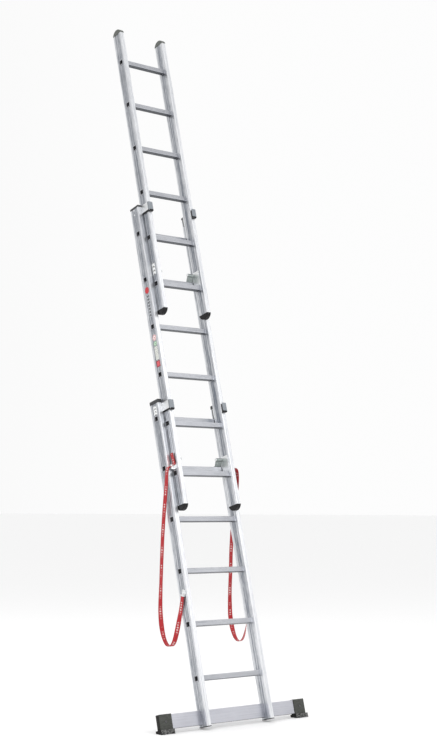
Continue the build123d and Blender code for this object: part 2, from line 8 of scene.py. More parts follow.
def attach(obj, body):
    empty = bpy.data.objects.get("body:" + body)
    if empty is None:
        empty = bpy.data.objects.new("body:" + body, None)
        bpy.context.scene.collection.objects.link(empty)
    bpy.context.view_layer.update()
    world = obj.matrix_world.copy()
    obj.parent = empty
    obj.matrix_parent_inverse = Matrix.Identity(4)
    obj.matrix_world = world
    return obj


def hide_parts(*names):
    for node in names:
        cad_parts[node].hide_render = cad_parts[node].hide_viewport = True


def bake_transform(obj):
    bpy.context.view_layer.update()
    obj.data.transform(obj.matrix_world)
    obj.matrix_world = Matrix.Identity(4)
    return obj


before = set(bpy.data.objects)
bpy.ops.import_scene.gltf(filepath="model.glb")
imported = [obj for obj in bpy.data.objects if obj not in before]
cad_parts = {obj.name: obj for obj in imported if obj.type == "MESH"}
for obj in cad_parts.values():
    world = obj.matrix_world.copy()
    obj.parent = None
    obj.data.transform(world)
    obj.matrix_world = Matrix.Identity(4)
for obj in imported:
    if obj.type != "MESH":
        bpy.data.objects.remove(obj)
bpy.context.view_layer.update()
print("frame loaded:", len(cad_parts), "nodes")

# The ladder leans back 15 degrees about the line between its soles.
# Ladder coordinates are upright: x along the rungs, y front to back, z up the stiles.
lean = {"angle": math.radians(15), "barMiddle": 0.0205}


def fromLadder(x, y, z):
    c, s = math.cos(lean["angle"]), math.sin(lean["angle"])
    back = y - lean["barMiddle"]
    return Vector((x, back * c + z * s, z * c - back * s))


# Unit directions on the leaning ladder
frontToBack = fromLadder(0, 1, 0) - fromLadder(0, 0, 0)
upStile = fromLadder(0, 0, 1) - fromLadder(0, 0, 0)
sides = (("left", -1), ("right", 1))


def addObject(name, data):
    made = bpy.data.objects.new(name, data)
    bpy.context.scene.collection.objects.link(made)
    return made


def addForm(name, form):
    mesh = bpy.data.meshes.new(name)
    form.to_mesh(mesh)
    form.free()
    return addObject(name, mesh)


# Camera
viewpoint = {
    "place": (-4.713, -5.638, 1.138), "yaw": 39.15, "pitch": 5.35, "roll": 0.26,
    "lens": 66.6, "sensor": 36, "sight": 500,
}


def placeCamera(view):
    data = bpy.data.cameras.new("ladderCamera")
    data.lens = view["lens"]
    data.sensor_width = view["sensor"]
    data.clip_end = view["sight"]
    camera = addObject("ladderCamera", data)
    turn = Matrix.Rotation(math.radians(-view["yaw"]), 4, "Z")
    tip = Matrix.Rotation(math.radians(90 + view["pitch"]), 4, "X")
    roll = Matrix.Rotation(math.radians(view["roll"]), 4, "Z")
    camera.matrix_world = Matrix.Translation(view["place"]) @ turn @ tip @ roll
    bpy.context.scene.camera = camera


placeCamera(viewpoint)
print("camera placed")


# Shader maths on sockets
class Value:
    def __init__(self, sheet, socket):
        self.sheet = sheet
        self.socket = socket

    def _do(self, operation, *others):
        return self.sheet.maths(operation, *others)

    def __add__(self, other):
        return self._do("ADD", self, other)

    __radd__ = __add__

    def __sub__(self, other):
        return self._do("SUBTRACT", self, other)

    def __rsub__(self, other):
        return self._do("SUBTRACT", other, self)

    def __mul__(self, other):
        return self._do("MULTIPLY", self, other)

    __rmul__ = __mul__

    def __truediv__(self, other):
        return self._do("DIVIDE", self, other)

    def above(self, limit):
        return self._do("GREATER_THAN", self, limit)

    def below(self, limit):
        return self._do("LESS_THAN", self, limit)

    def size(self):
        return self._do("ABSOLUTE", self)

    def power(self, exponent):
        return self._do("POWER", self, exponent)

    def fraction(self):
        return self._do("FRACT", self)

    def lower(self, other):
        return self._do("MINIMUM", self, other)

    def higher(self, other):
        return self._do("MAXIMUM", self, other)


# One node tree, of a material or of the sky
class Sheet:
    def __init__(self, owner):
        owner.use_nodes = True
        self.tree = owner.node_tree
        self.tree.nodes.clear()

    def feed(self, socket, value):
        if isinstance(value, Value):
            self.tree.links.new(value.socket, socket)
        elif isinstance(value, (tuple, list)) and socket.type == "RGBA" and len(value) == 3:
            socket.default_value = (*value, 1)
        else:
            socket.default_value = value

    # Settings come first; output is a number, or None for the node itself
    def node(self, kind, settings=None, values=None, output=0):
        made = self.tree.nodes.new(kind)
        for key, value in (settings or {}).items():
            if key == "stops":
                for element, (place, colour) in zip(made.color_ramp.elements, value):
                    element.position = place
                    element.color = (*colour, 1)
            else:
                setattr(made, key, value)
        for key, value in (values or {}).items():
            self.feed(made.inputs[key], value)
        return made if output is None else Value(self, made.outputs[output])

    def maths(self, operation, *parts):
        return self.node("ShaderNodeMath", {"operation": operation}, dict(enumerate(parts)))


class Finish(Sheet):
    def __init__(self, name):
        self.material = bpy.data.materials.new(name)
        super().__init__(self.material)
        self.surface = self.node("ShaderNodeBsdfPrincipled", output=None)
        shown = Value(self, self.surface.outputs["BSDF"])
        self.node("ShaderNodeOutputMaterial", None, {"Surface": shown}, None)

    def blendColour(self, factor, first, second, mode="MIX"):
        settings = {"data_type": "RGBA", "blend_type": mode}
        return self.node("ShaderNodeMix", settings, {0: factor, 6: first, 7: second}, 2)

    def place(self):
        return self.node("ShaderNodeTexCoord", output=3)

    # Which way a face looks: its x, y and z parts
    def facing(self):
        return self.split(self.node("ShaderNodeNewGeometry", output=1))

    # Position along the leaning ladder: x across, y front to back, z up the stile
    def ladderPlace(self):
        turned = {"vector_type": "POINT"}
        return self.node("ShaderNodeMapping", turned, {0: self.place(), "Rotation": (lean["angle"], 0, 0)})

    def split(self, vector):
        made = self.node("ShaderNodeSeparateXYZ", None, {0: vector}, None)
        return [Value(self, part) for part in made.outputs]

    def stretch(self, vector, scale):
        return self.node("ShaderNodeVectorMath", {"operation": "MULTIPLY"}, {0: vector, 1: scale})

    def noise(self, vector, scale, detail=3, roughness=0.5):
        values = {"Vector": vector, "Scale": scale, "Detail": detail, "Roughness": roughness}
        return self.node("ShaderNodeTexNoise", None, values)

    def bump(self, height, strength, distance):
        values = {"Height": height, "Strength": strength, "Distance": distance}
        return self.node("ShaderNodeBump", None, values)

    def set(self, **values):
        names = {"colour": "Base Color", "roughness": "Roughness", "metallic": "Metallic",
                 "normal": "Normal", "sheen": "Sheen Weight", "specular": "Specular IOR Level"}
        for key, value in values.items():
            self.feed(self.surface.inputs[names[key]], value)
        return self.material


def dress(material, *nodeNames):
    for name in nodeNames:
        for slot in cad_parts[name].material_slots:
            slot.material = material


# Extruded stiles: drawn lines along the length, handling marks, a duller recessed channel with painted shade
# in it, and painted shade on the side faces and the middle of the inner face
# Depths inwards from the outer face: channel floor, outer and inner faces of the section
stileFinish = {
    "bright": (0.82, 0.83, 0.85), "dullAndShade": (0.19, 0.21, 0.25), "grimeAndShade": (0.34, 0.34, 0.33),
    # The side, channel and inner tones are painted shade: the side faces, the channel floor and the middle
    # of the inner face come out darker than the front face
    "frontTone": 0.1, "sideShadeTone": 0.3, "channelDullAndShadeTone": 0.26, "innerShadeTone": 0.3, "edgeTone": -0.28,
    "roughness": 0.34, "metallic": 0.92, "lineScale": 150, "marks": 9, "fineScale": 900,
    "lineWeight": 1.7, "brokenWeight": 1.3, "markWeight": 0.45, "bump": 0.12, "bumpDepth": 0.0006,
    "halfDepth": 0.036, "halfChannel": 0.019, "halfInner": 0.0132, "edgeWidth": 0.009,
    "floorDeep": 0.0018, "floorShallow": 0.0011, "outerDeep": 0.0019, "innerDeep": 0.0236,
}


def makeStileFinish(name, halfWidth, middleY):
    look = stileFinish
    finish = Finish(name)
    here = finish.ladderPlace()
    x, y, _ = finish.split(here)
    acrossX = x.size()
    acrossY = (y + (lean["barMiddle"] - middleY)).size()
    inChannel = acrossY.below(look["halfChannel"])
    outerFloor = acrossX.above(halfWidth - look["floorDeep"])
    outerFloor = outerFloor * acrossX.below(halfWidth - look["floorShallow"]) * inChannel
    innerFace = acrossX.below(halfWidth - look["innerDeep"])
    innerBand = innerFace * acrossY.below(look["halfInner"])
    sideFace = acrossX.above(halfWidth - look["outerDeep"]).higher(innerFace)
    outerEdge = sideFace * acrossY.above(look["halfDepth"] - look["edgeWidth"])
    lines = finish.noise(finish.stretch(here, (1, 1, 0.01)), look["lineScale"], 3, 0.65)
    broken = finish.noise(finish.stretch(here, (1, 1, 0.09)), look["lineScale"] * 1.3, 4, 0.7)
    marks = finish.noise(finish.stretch(here, (1, 1, 0.35)), look["marks"], 4, 0.62)
    fine = finish.noise(finish.stretch(here, (1, 1, 0.03)), look["fineScale"], 2, 0.5)
    streaks = (lines - 0.5) * look["lineWeight"] + (broken - 0.5) * look["brokenWeight"]
    tone = streaks * (0.7 + sideFace * 0.5) + (marks - 0.5) * look["markWeight"] + look["frontTone"]
    # Painted shade: the side faces are made darker than the front face, and the channel floor, which is also
    # duller, darker again
    tone = tone + sideFace * look["sideShadeTone"] + outerFloor * look["channelDullAndShadeTone"]
    # Painted shade: the middle of the inner face is darkened as if it were recessed
    tone = tone + innerBand * look["innerShadeTone"] + outerEdge * look["edgeTone"]
    colour = finish.blendColour(tone.higher(0).lower(1), look["bright"], look["dullAndShade"])
    # Random marks darken as grime; the channel floor also gets a little painted shade here
    grimeAndShade = (marks - 0.6).higher(0) * 1.2 + outerFloor * 0.06
    colour = finish.blendColour(grimeAndShade.lower(0.5), colour, look["grimeAndShade"])
    roughness = look["roughness"] + (lines - 0.5) * 0.18 + (marks - 0.5) * 0.16 + outerFloor * 0.08
    normal = finish.bump(lines + fine * 0.5, look["bump"], look["bumpDepth"])
    return finish.set(colour=colour, roughness=roughness, metallic=look["metallic"], normal=normal)


dress(makeStileFinish("lowerStileAluminium", 0.225, 0), "lower_stile_left", "lower_stile_right")
dress(makeStileFinish("middleStileAluminium", 0.195, -0.053), "middle_stile_left", "middle_stile_right")
dress(makeStileFinish("upperStileAluminium", 0.165, -0.106), "upper_stile_left", "upper_stile_right")


# Rungs and base bar: extruded along X, tread worn brighter in the middle, and painted shade that darkens
# faces the less they look up, darkest underneath
rungFinish = {
    "bright": (0.66, 0.67, 0.7), "dullAndShade": (0.2, 0.21, 0.24), "under": (0.11, 0.115, 0.125),
    "roughness": 0.33, "metallic": 0.92, "lineScale": 320, "marks": 14, "bump": 0.14, "bumpDepth": 0.0005,
    # level and slope set the painted shade by facing; the under colour, underFrom and underGain set the
    # painted shade on faces that look down
    "level": 0.9, "shadeSlope": 0.75, "underFrom": 0.35, "underGain": 2.6, "worn": 0.08, "wornShort": 0.02,
    "collar": 0.35, "collarLong": 0.03,
}


def makeRungFinish(name, halfWidth, look):
    finish = Finish(name)
    here = finish.ladderPlace()
    fromMiddle = finish.split(here)[0].size()
    drawn = finish.noise(finish.stretch(here, (0.012, 1, 1)), look["lineScale"], 2, 0.6)
    marks = finish.noise(finish.stretch(here, (0.6, 1, 1)), look["marks"], 4, 0.6)
    middle = 1 - (fromMiddle / (halfWidth - look["wornShort"])).lower(1)
    collar = fromMiddle.above(halfWidth - look["collarLong"])
    up = finish.facing()[2]
    # Painted shade by facing: the less a face looks up, the darker it is
    tone = (drawn - 0.5) * 0.7 + (marks - 0.5) * 0.5 + (look["level"] - up) * look["shadeSlope"]
    tone = tone - middle * look["worn"] - collar * look["collar"]
    colour = finish.blendColour(tone.higher(0).lower(1), look["bright"], look["dullAndShade"])
    # Painted shade underneath: faces that look down blend towards the dark under colour
    under = ((0 - look["underFrom"] - up) * look["underGain"]).higher(0).lower(1)
    colour = finish.blendColour(under, colour, look["under"])
    roughness = look["roughness"] + (drawn - 0.5) * 0.2 + (marks - 0.5) * 0.2
    normal = finish.bump(drawn, look["bump"], look["bumpDepth"])
    return finish.set(colour=colour, roughness=roughness, metallic=look["metallic"], normal=normal)


for sectionName, halfWidth in (("lower", 0.225), ("middle", 0.195), ("upper", 0.165)):
    rungMaterial = makeRungFinish(sectionName + "RungAluminium", halfWidth, rungFinish)
    dress(rungMaterial, *[f"{sectionName}_rung_{number}" for number in range(1, 7)])
# The base bar gets a gentler painted shade by facing
barFinish = dict(rungFinish, bright=(0.6, 0.605, 0.65), dullAndShade=(0.31, 0.315, 0.36),
                 roughness=0.36, shadeSlope=0.5, collar=0)
dress(makeRungFinish("baseBarAluminium", 0.42, barFinish), "base_bar")
print("aluminium finished")


# Moulded plastic and rubber: fine grain, scuffed and dusty in patches
moulded = {"scuffFrom": 0.56, "scuffGain": 5, "bump": 0.25, "bumpDepth": 0.0004}


def makeMoulded(name, base, worn, roughness, grain, dust=0.25, metallic=0.0, specular=0.5):
    finish = Finish(name)
    here = finish.place()
    grained = finish.noise(here, grain, 3, 0.6)
    cloudy = finish.noise(here, 22, 4, 0.6)
    scuffs = finish.noise(finish.stretch(here, (1, 1, 0.2)), 160, 5, 0.7)
    scuffed = ((scuffs - moulded["scuffFrom"]).higher(0) * moulded["scuffGain"]).lower(1)
    mask = scuffed * 0.6 + (cloudy - 0.5).higher(0) * dust
    colour = finish.blendColour(mask.higher(0).lower(1), base, worn)
    shade = roughness + (cloudy - 0.5) * 0.2 + (grained - 0.5) * 0.15
    normal = finish.bump(grained + scuffs * 0.3, moulded["bump"], moulded["bumpDepth"])
    return finish.set(colour=colour, roughness=shade, normal=normal, metallic=metallic, specular=specular)


dress(makeMoulded("greyCapPlastic", (0.1, 0.108, 0.098), (0.22, 0.23, 0.215), 0.5, 900), "upper_top_caps")
dress(makeMoulded("blackCapPlastic", (0.045, 0.046, 0.048), (0.2, 0.2, 0.2), 0.45, 900, specular=0.3),
      "lower_top_caps", "middle_top_caps", "lower_bottom_plugs")
dress(makeMoulded("footRubber", (0.006, 0.006, 0.007), (0.05, 0.05, 0.052), 0.36, 700, 0.3,
                  specular=0.25), "upper_feet", "middle_feet")


# Soles and end caps: darker on their ends, scuffed pale on the faces that look forwards
footLooks = [
    {"name": "soleRubber", "face": (0.008, 0.008, 0.008), "worn": (0.06, 0.06, 0.057),
     "ends": (0.005, 0.005, 0.005), "pale": (0.2, 0.2, 0.195), "roughness": 0.5, "specular": 0.2,
     "nodes": ("rubber_sole_left", "rubber_sole_right")},
    {"name": "endCapPlastic", "face": (0.05, 0.052, 0.046), "worn": (0.12, 0.125, 0.115),
     "ends": (0.008, 0.008, 0.007), "pale": (0.075, 0.078, 0.072), "roughness": 0.5, "specular": 0.2,
     "nodes": ("end_cap_left", "end_cap_right")},
]
sideways = 0.7  # how squarely a face has to look sideways or forwards


def makeFootPlastic(look):
    finish = Finish(look["name"])
    here = finish.place()
    across, front, _ = finish.facing()
    grained = finish.noise(here, 800, 3, 0.6)
    cloudy = finish.noise(here, 26, 4, 0.6)
    scuffs = finish.noise(finish.stretch(here, (0.25, 1, 1)), 260, 5, 0.7)
    scuffed = ((scuffs - moulded["scuffFrom"]).higher(0) * moulded["scuffGain"]).lower(1)
    mask = scuffed * 0.5 + (cloudy - 0.5).higher(0) * 0.3
    colour = finish.blendColour(mask.higher(0).lower(1), look["face"], look["worn"])
    colour = finish.blendColour(across.size().above(sideways) * 0.85, colour, look["ends"])
    pale = (0 - front).above(sideways) * ((scuffs - 0.44) * 6).higher(0).lower(1)
    colour = finish.blendColour(pale, colour, look["pale"])
    normal = finish.bump(grained + scuffs * 0.3, moulded["bump"], moulded["bumpDepth"])
    roughness = look["roughness"] + (cloudy - 0.5) * 0.2
    return finish.set(colour=colour, roughness=roughness, normal=normal, specular=look["specular"])


for look in footLooks:
    dress(makeFootPlastic(look), *look["nodes"])
dress(makeMoulded("glidePadPlastic", (0.02, 0.02, 0.022), (0.08, 0.08, 0.08), 0.4, 900),
      "lower_glide_pads", "middle_glide_pads")
dress(makeMoulded("hookCoating", (0.3, 0.335, 0.325), (0.55, 0.57, 0.56), 0.32, 700, 0.4, 0.7),
      "middle_hook_left", "middle_hook_right", "upper_hook_left", "upper_hook_right")


# Plated steel, with a faint spangle
def makePlated(name, base, tint, roughness):
    finish = Finish(name)
    here = finish.place()
    spangle = finish.node("ShaderNodeTexVoronoi", {"feature": "F1"}, {"Vector": here, "Scale": 190}, 1)
    smear = finish.noise(here, 40, 4, 0.6)
    colour = finish.blendColour((smear - 0.35).higher(0).lower(1), base, tint)
    colour = finish.blendColour(0.06, colour, spangle, "OVERLAY")
    return finish.set(colour=colour, roughness=roughness + (smear - 0.5) * 0.25, metallic=0.9,
                      normal=finish.bump(smear, 0.1, 0.0004))


dress(makePlated("zincPlate", (0.88, 0.89, 0.9), (0.72, 0.73, 0.72), 0.32),
      "middle_hook_plates", "upper_hook_plates", "middle_hook_pins", "upper_hook_pins", "bar_bolts",
      "strap_upper_bolts", "strap_lower_bolts", "strap_upper_anchors", "strap_lower_anchors",
      "lower_rivets", "middle_rivets", "upper_rivets")
dress(makePlated("screwBlack", (0.1, 0.1, 0.1), (0.3, 0.3, 0.3), 0.36), "end_cap_screws")

# Guide brackets: bare plate beside the stile, grey coated lip in front of it
guideFinish = {
    "lip": (0.22, 0.24, 0.265), "worn": (0.36, 0.38, 0.4), "bare": (0.84, 0.85, 0.86),
    "halfDepth": 0.036, "clear": 0.004, "roughness": 0.36, "metallic": 0.92, "coatLoss": 0.75,
}


def makeGuideFinish(name, heldY):
    look = guideFinish
    finish = Finish(name)
    here = finish.ladderPlace()
    y = finish.split(here)[1]
    coated = (y + lean["barMiddle"]).below(heldY - look["halfDepth"] - look["clear"])
    cloudy = finish.noise(here, 60, 4, 0.6)
    grey = finish.blendColour(((cloudy - 0.5) * 1.6).higher(0).lower(1), look["lip"], look["worn"])
    colour = finish.blendColour(coated, look["bare"], grey)
    normal = finish.bump(finish.noise(here, 700, 2, 0.5), 0.15, 0.0003)
    roughness = look["roughness"] + (cloudy - 0.5) * 0.2 + coated * 0.1
    return finish.set(colour=colour, roughness=roughness, normal=normal,
                      metallic=look["metallic"] - coated * look["coatLoss"])


dress(makeGuideFinish("lowerGuideFinish", -0.053), "lower_guide_left", "lower_guide_right")
dress(makeGuideFinish("middleGuideFinish", -0.106), "middle_guide_left", "middle_guide_right")
print("plastic, rubber and steel finished")


# Safety straps: woven red webbing that hangs in a loop beside the lower section
strap = {
    "width": 0.025, "thickness": 0.0019, "tube": 0.008, "steps": 260, "sewn": 0.05, "sewnEnds": 0.004,
    "red": (0.5, 0.011, 0.018), "darkRed": (0.27, 0.005, 0.009), "white": (0.8, 0.68, 0.66),
    "ribs": 11, "yarns": 900, "slant": 1.4, "dashRows": 9.2, "dashRowLong": 0.62, "dashes": 74,
    "dashLong": 0.58, "dashHalfWide": 0.19, "edgeFrom": 0.43,
    "route": [
        (-0.217, 0.2850, 1.3399), (-0.228, 0.2850, 1.3420), (-0.2385, 0.2840, 1.3355),
        (-0.244, 0.2831, 1.3180), (-0.246, 0.2831, 1.2900), (-0.246, 0.2850, 1.2550),
        (-0.246, 0.2899, 1.2100), (-0.244, 0.3010, 1.1400), (-0.241, 0.3131, 1.0600),
        (-0.240, 0.3220, 0.9700), (-0.239, 0.3280, 0.8800), (-0.240, 0.3310, 0.7870),
        (-0.239, 0.3361, 0.6840), (-0.240, 0.3380, 0.5920), (-0.239, 0.3310, 0.5150),
        (-0.240, 0.3120, 0.4500), (-0.239, 0.2831, 0.4040), (-0.238, 0.2480, 0.3930),
        (-0.238, 0.2180, 0.4140), (-0.237, 0.1971, 0.4680), (-0.235, 0.1800, 0.5330),
    ],
    # share of the length, and the way the width points there as an angle from Y towards X, in degrees
    "turns": {
        "left": [(0.0, 0), (0.05, -6), (0.12, -14), (0.5, -8), (0.62, -30), (0.73, -88),
                 (0.84, -52), (0.94, -12), (1.0, 0)],
        "right": [(0.0, 0), (0.06, -8), (0.3, -12), (0.55, -10), (0.64, -34), (0.73, -84),
                  (0.84, -124), (0.94, -168), (1.0, -180)],
    },
    "turnRounds": 12,
}
# The turned clip of the lower anchor, and how far the strap runs straight in line with it
strapEnd = {
    "bolt": (0.225, -0.010, 0.699), "turn": 25, "plate": 0.0025, "clear": 0.0005,
    "reach": 0.034, "width": 0.026, "straight": 0.060,
}


# The last two points: one below the clip and in line with it, one beside its outer face
def strapTail():
    y, z = strapEnd["bolt"][1:]
    x = strapEnd["bolt"][0] + strapEnd["plate"] + strap["tube"] / 2 + strapEnd["clear"]
    turn = math.radians(strapEnd["turn"])
    points = []
    for down in (strapEnd["straight"], 0):
        drop = strapEnd["reach"] - strapEnd["width"] / 2 + down
        points.append(tuple(fromLadder(-x, y + drop * math.sin(turn), z - drop * math.cos(turn))))
    return points


def strapSpline(name, side):
    points = [(side * -x, y, z) for x, y, z in strap["route"] + strapTail()]
    curve = bpy.data.curves.new(name, "CURVE")
    curve.dimensions = "3D"
    curve.resolution_u = 14
    spline = curve.splines.new("NURBS")
    spline.points.add(len(points) - 1)
    for point, place in zip(spline.points, points):
        point.co = (*place, 1)
    spline.order_u = 3
    spline.use_endpoint_u = True
    return curve


def splineLine(curve):
    holder = addObject(curve.name, curve)
    mesh = bpy.data.meshes.new_from_object(holder)
    line = [vertex.co.copy() for vertex in mesh.vertices]
    bpy.data.objects.remove(holder)
    bpy.data.meshes.remove(mesh)
    return line


def evenSteps(line, count):
    lengths = [0]
    for a, b in zip(line, line[1:]):
        lengths.append(lengths[-1] + (b - a).length)
    places = []
    at = 0
    for i in range(count + 1):
        wanted = lengths[-1] * i / count
        while at < len(line) - 2 and lengths[at + 1] < wanted:
            at += 1
        share = (wanted - lengths[at]) / max(1e-9, lengths[at + 1] - lengths[at])
        places.append(line[at].lerp(line[at + 1], min(1, share)))
    return places, lengths[-1]


def ease(table, share):
    for (a, low), (b, high) in zip(table, table[1:]):
        if share <= b:
            t = (share - a) / (b - a)
            return low + (high - low) * t
    return table[-1][1]


def smoothList(values, rounds):
    for _ in range(rounds):
        inner = [(a + 2 * b + c) / 4 for a, b, c in zip(values, values[1:], values[2:])]
        values = [values[0]] + inner + [values[-1]]
    return values


# A closed flat band with rounded edges that follows a line; widthWays says which way its width points
bandShape = {"across": 7, "edgePower": 6, "edgeThin": 0.55}


def bandMesh(name, places, widthWays, width, thicknesses):
    across = bandShape["across"]
    form = bmesh.new()
    uvLayer = form.loops.layers.uv.new("webbing")
    rings = []
    for i, place in enumerate(places):
        ahead = (places[min(i + 1, len(places) - 1)] - places[max(i - 1, 0)]).normalized()
        way = widthWays[i] - ahead * widthWays[i].dot(ahead)
        way.normalize()
        out = ahead.cross(way).normalized()
        ring = []
        for facing, order in ((1, range(across)), (-1, range(across - 1, -1, -1))):
            for j in order:
                u = j / (across - 1)
                thin = 1 - bandShape["edgeThin"] * abs(2 * u - 1) ** bandShape["edgePower"]
                ring.append((u, place + way * (u - 0.5) * width + out * thicknesses[i] / 2 * thin * facing))
        rings.append([(u, form.verts.new(p)) for u, p in ring])
    long = 0
    for i, (low, high) in enumerate(zip(rings, rings[1:])):
        step = (places[i + 1] - places[i]).length
        for j in range(len(low)):
            k = (j + 1) % len(low)
            corners = [(low[j], long), (low[k], long), (high[k], long + step), (high[j], long + step)]
            face = form.faces.new([corner[0][1] for corner in corners])
            face.smooth = True
            for loop, (corner, v) in zip(face.loops, corners):
                loop[uvLayer].uv = (corner[0], v)
        long += step
    form.faces.new([v for _, v in rings[0]][::-1])
    form.faces.new([v for _, v in rings[-1]])
    bmesh.ops.recalc_face_normals(form, faces=form.faces)
    return addForm(name, form)


# Slanted weave, darker edges and plain worn white dashes woven along the middle
def makeWebbing(name):
    finish = Finish(name)
    uv = finish.node("ShaderNodeUVMap", {"uv_map": "webbing"})
    u, v, _ = finish.split(uv)
    centre = (u - 0.5).size()
    ribs = ((u * strap["ribs"]).fraction() - 0.5).size() * 2
    slant = ((v * strap["yarns"] + ribs * strap["slant"]).fraction() - 0.5).size() * 2
    yarn = slant * 0.6 + ribs * 0.4
    row = (v * strap["dashRows"]).fraction().below(strap["dashRowLong"])
    dash = (v * strap["dashes"]).fraction().below(strap["dashLong"])
    bars = centre.below(strap["dashHalfWide"]) * row * dash
    edge = centre.above(strap["edgeFrom"])
    soft = finish.noise(finish.place(), 60, 4, 0.6)
    tone = (yarn - 0.5) * 0.7 + (soft - 0.5) * 0.7 + 0.35 + edge * 0.3
    colour = finish.blendColour(tone.higher(0).lower(1), strap["red"], strap["darkRed"])
    worn = ((finish.noise(finish.place(), 34, 3, 0.6) - 0.38) * 5).higher(0).lower(1)
    colour = finish.blendColour(bars * (0.78 + (yarn - 0.5) * 0.3) * worn, colour, strap["white"])
    normal = finish.bump(yarn, 0.5, 0.0004)
    return finish.set(colour=colour, roughness=0.72 + (soft - 0.5) * 0.2, normal=normal, sheen=0.25)


webbing = makeWebbing("redWebbing")


# Doubled where it is folded back and sewn at both ends
def strapThickness(share, length):
    fromEnd = min(share, 1 - share) * length
    doubled = max(0, min(1, (strap["sewn"] - fromEnd) / strap["sewnEnds"]))
    return strap["thickness"] * (1 + doubled)


for sideName, side in sides:
    line = splineLine(strapSpline("strapRoute" + sideName, side))
    count = strap["steps"]
    places, length = evenSteps(line, count)
    shares = [i / count for i in range(count + 1)]
    angles = smoothList([ease(strap["turns"][sideName], share) for share in shares], strap["turnRounds"])
    ways = [Vector((math.sin(math.radians(a)), math.cos(math.radians(a)), 0)) for a in angles]
    thicknesses = [strapThickness(share, length) for share in shares]
    band = bandMesh("safetyStrap_" + sideName, places, ways, strap["width"], thicknesses)
    band.data.materials.append(webbing)
    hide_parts("strap_" + sideName)
    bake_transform(band)
    print("strap", sideName, "is", round(length, 3), "m long")


# Short sewn tail that stands up above the upper bolt, against the middle stile
tail = {
    "bolt": (0.195, -0.061, 1.368), "above": 0.008, "length": 0.066, "lift": 0.0042, "curl": 0.0035,
    "lean": 0.006, "width": 0.024, "thickness": 0.0038, "steps": 24,
}


def makeStrapTail(sideName, side):
    x, y, z = tail["bolt"]
    places = []
    for i in range(tail["steps"] + 1):
        share = i / tail["steps"]
        out = x + tail["lift"] + tail["curl"] * share * share
        up = z + tail["above"] + tail["length"] * share
        places.append(fromLadder(side * out, y + tail["lean"] * share, up))
    ways = [frontToBack] * len(places)
    thicknesses = [tail["thickness"]] * len(places)
    piece = bandMesh("strapTail_" + sideName, places, ways, tail["width"], thicknesses)
    piece.data.materials.append(webbing)
    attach(piece, "middle_section")


for sideName, side in sides:
    makeStrapTail(sideName, side)
print("strap tails sewn")


# Black strips that stand in for the shadow gap along the free lower edge of each guide bracket, round its
# bend and along its lip: painted shadow
shadowStrip = {
    "lower": {"innerFace": 0.2, "rearFront": -0.036, "lipFront": -0.104, "lipEnd": 0.171,
              "bottom": 1.681, "rear": 0.02},
    "middle": {"innerFace": 0.17, "rearFront": -0.089, "lipFront": -0.157, "lipEnd": 0.141,
               "bottom": 2.84, "rear": -0.033},
    "plate": 0.003, "cover": 0.0016, "overlap": 0.0015, "clear": 0.0005,
    "tall": 0.009, "bend": 0.0035, "inset": 0.0004, "plateSteps": 10, "bendSteps": 6, "lipSteps": 8,
    "height": 0.052, "rearWide": 0.006, "rearInset": 0.0007, "rearThinner": 0.0002, "rearSteps": 16,
}
# Near-black material of the painted shadow strips
shadowStripBlack = makeMoulded("shadowStripBlack", (0.012, 0.012, 0.013), (0.05, 0.05, 0.05), 0.5, 900,
                            specular=0.25)


def makeShadowStrip(sectionName, sideName, side):
    cut = shadowStrip[sectionName]
    half = shadowStrip["plate"] / 2
    x = cut["innerFace"] - half - shadowStrip["inset"]
    y = cut["lipFront"] + half + shadowStrip["inset"]
    r = shadowStrip["bend"]
    z = cut["bottom"] + shadowStrip["tall"] / 2 - shadowStrip["overlap"]
    start = cut["rearFront"] - shadowStrip["clear"]
    count = shadowStrip["plateSteps"]
    plan = [(x, start - i * (start - y - r) / count) for i in range(count + 1)]
    for i in range(1, shadowStrip["bendSteps"] + 1):
        a = math.radians(90 * i / shadowStrip["bendSteps"])
        plan.append((x - r + r * math.cos(a), y + r - r * math.sin(a)))
    count = shadowStrip["lipSteps"]
    plan += [(x - r - i * (x - r - cut["lipEnd"]) / count, y) for i in range(1, count + 1)]
    places = [fromLadder(side * px, py, z) for px, py in plan]
    ways = [upStile] * len(places)
    thicknesses = [shadowStrip["plate"] + shadowStrip["cover"]] * len(places)
    name = f"{sectionName}GuideShadowStrip_{sideName}"
    piece = bandMesh(name, places, ways, shadowStrip["tall"], thicknesses)
    piece.data.materials.append(shadowStripBlack)
    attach(piece, sectionName + "_section")


# Black strip that stands in for the shadow gap up the free rear edge of the plate: painted shadow
def makeRearShadowStrip(sectionName, sideName, side):
    cut = shadowStrip[sectionName]
    x = cut["innerFace"] - shadowStrip["plate"] / 2 - shadowStrip["rearInset"]
    y = cut["rear"] + shadowStrip["rearWide"] / 2 - shadowStrip["overlap"]
    count = shadowStrip["rearSteps"]
    low, high = cut["bottom"] - shadowStrip["clear"], cut["bottom"] + shadowStrip["height"] + shadowStrip["clear"]
    places = [fromLadder(side * x, y, low + (high - low) * i / count) for i in range(count + 1)]
    ways = [frontToBack] * len(places)
    thicknesses = [shadowStrip["plate"] + shadowStrip["cover"] - shadowStrip["rearThinner"]] * len(places)
    name = f"{sectionName}GuideRearShadowStrip_{sideName}"
    piece = bandMesh(name, places, ways, shadowStrip["rearWide"], thicknesses)
    piece.data.materials.append(shadowStripBlack)
    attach(piece, sectionName + "_section")


for sectionName in ("lower", "middle"):
    for sideName, side in sides:
        makeShadowStrip(sectionName, sideName, side)
        makeRearShadowStrip(sectionName, sideName, side)
# The black strips fitted here are painted shadow
print("guide edging fitted")


